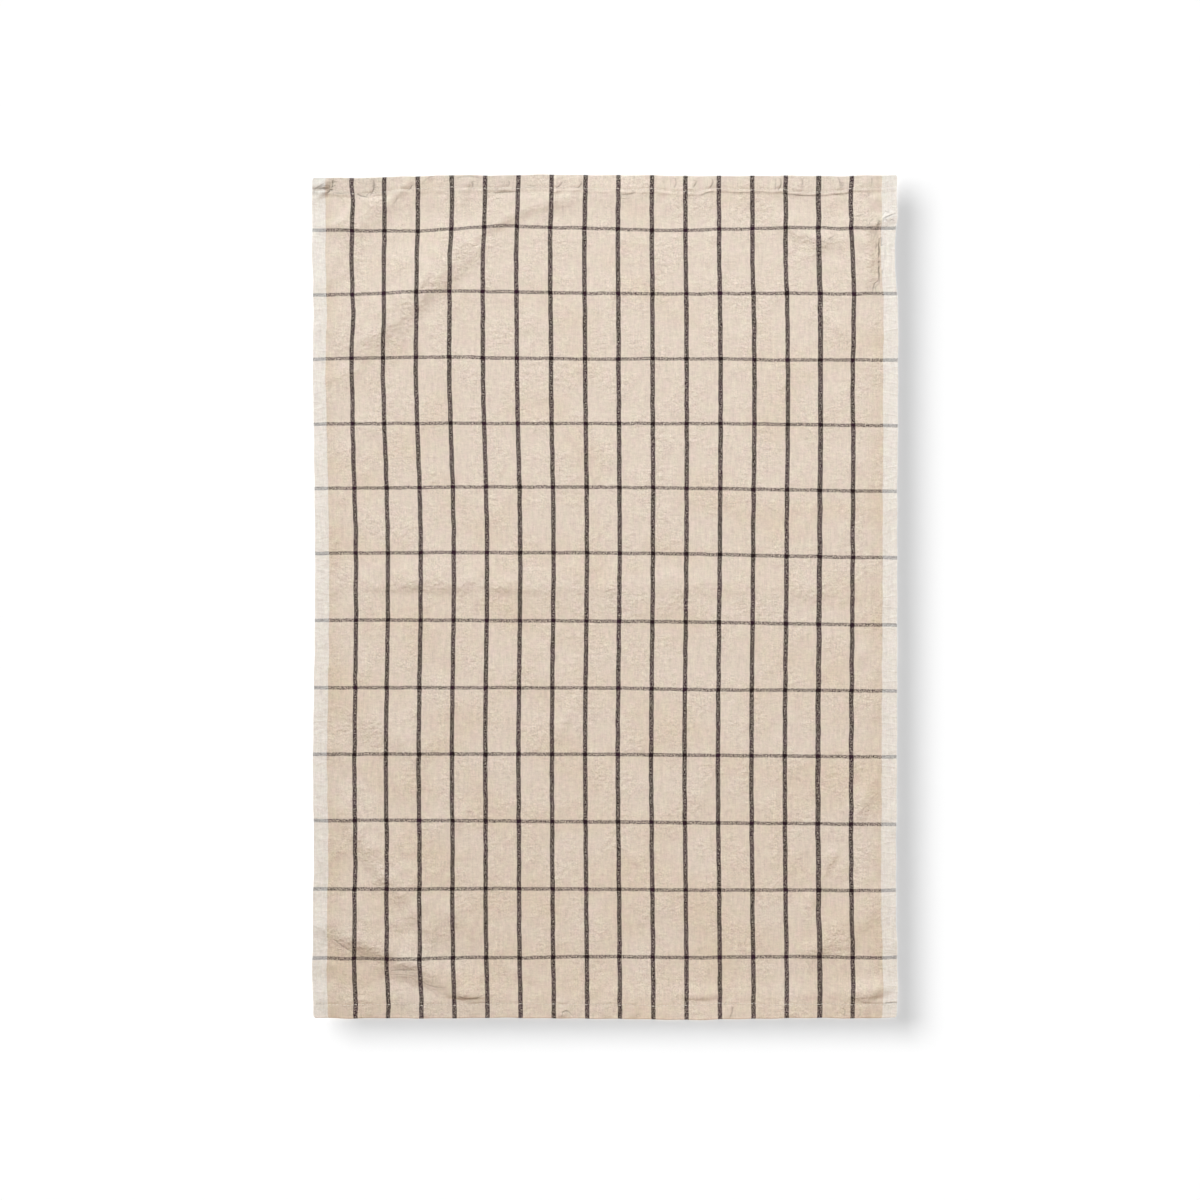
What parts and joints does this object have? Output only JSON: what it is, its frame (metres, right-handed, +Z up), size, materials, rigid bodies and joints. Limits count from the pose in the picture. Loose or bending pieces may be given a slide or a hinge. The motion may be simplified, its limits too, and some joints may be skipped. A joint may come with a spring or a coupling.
{
  "type": "tea towel",
  "caption": "Rectangular cotton tea towel lying flat and face up, both short ends hemmed, plain selvedges along its long sides, soft creases across its corners and middle.",
  "frame": {"origin": "under the middle of the towel's outline, on the surface that it lies on", "axes": "+Y along the towel's length towards its top hem, +X across it to the right as seen from above, +Z up out of its face"},
  "size_m": [0.4934, 0.7136, 0.0036],
  "materials": {
    "cotton": "matt plain weave in beige cotton, washed and softly crinkled, with a dark windowpane check and white selvedges"
  },
  "bodies": {
    "root": {"towel": "cotton"}
  },
  "joints": []
}
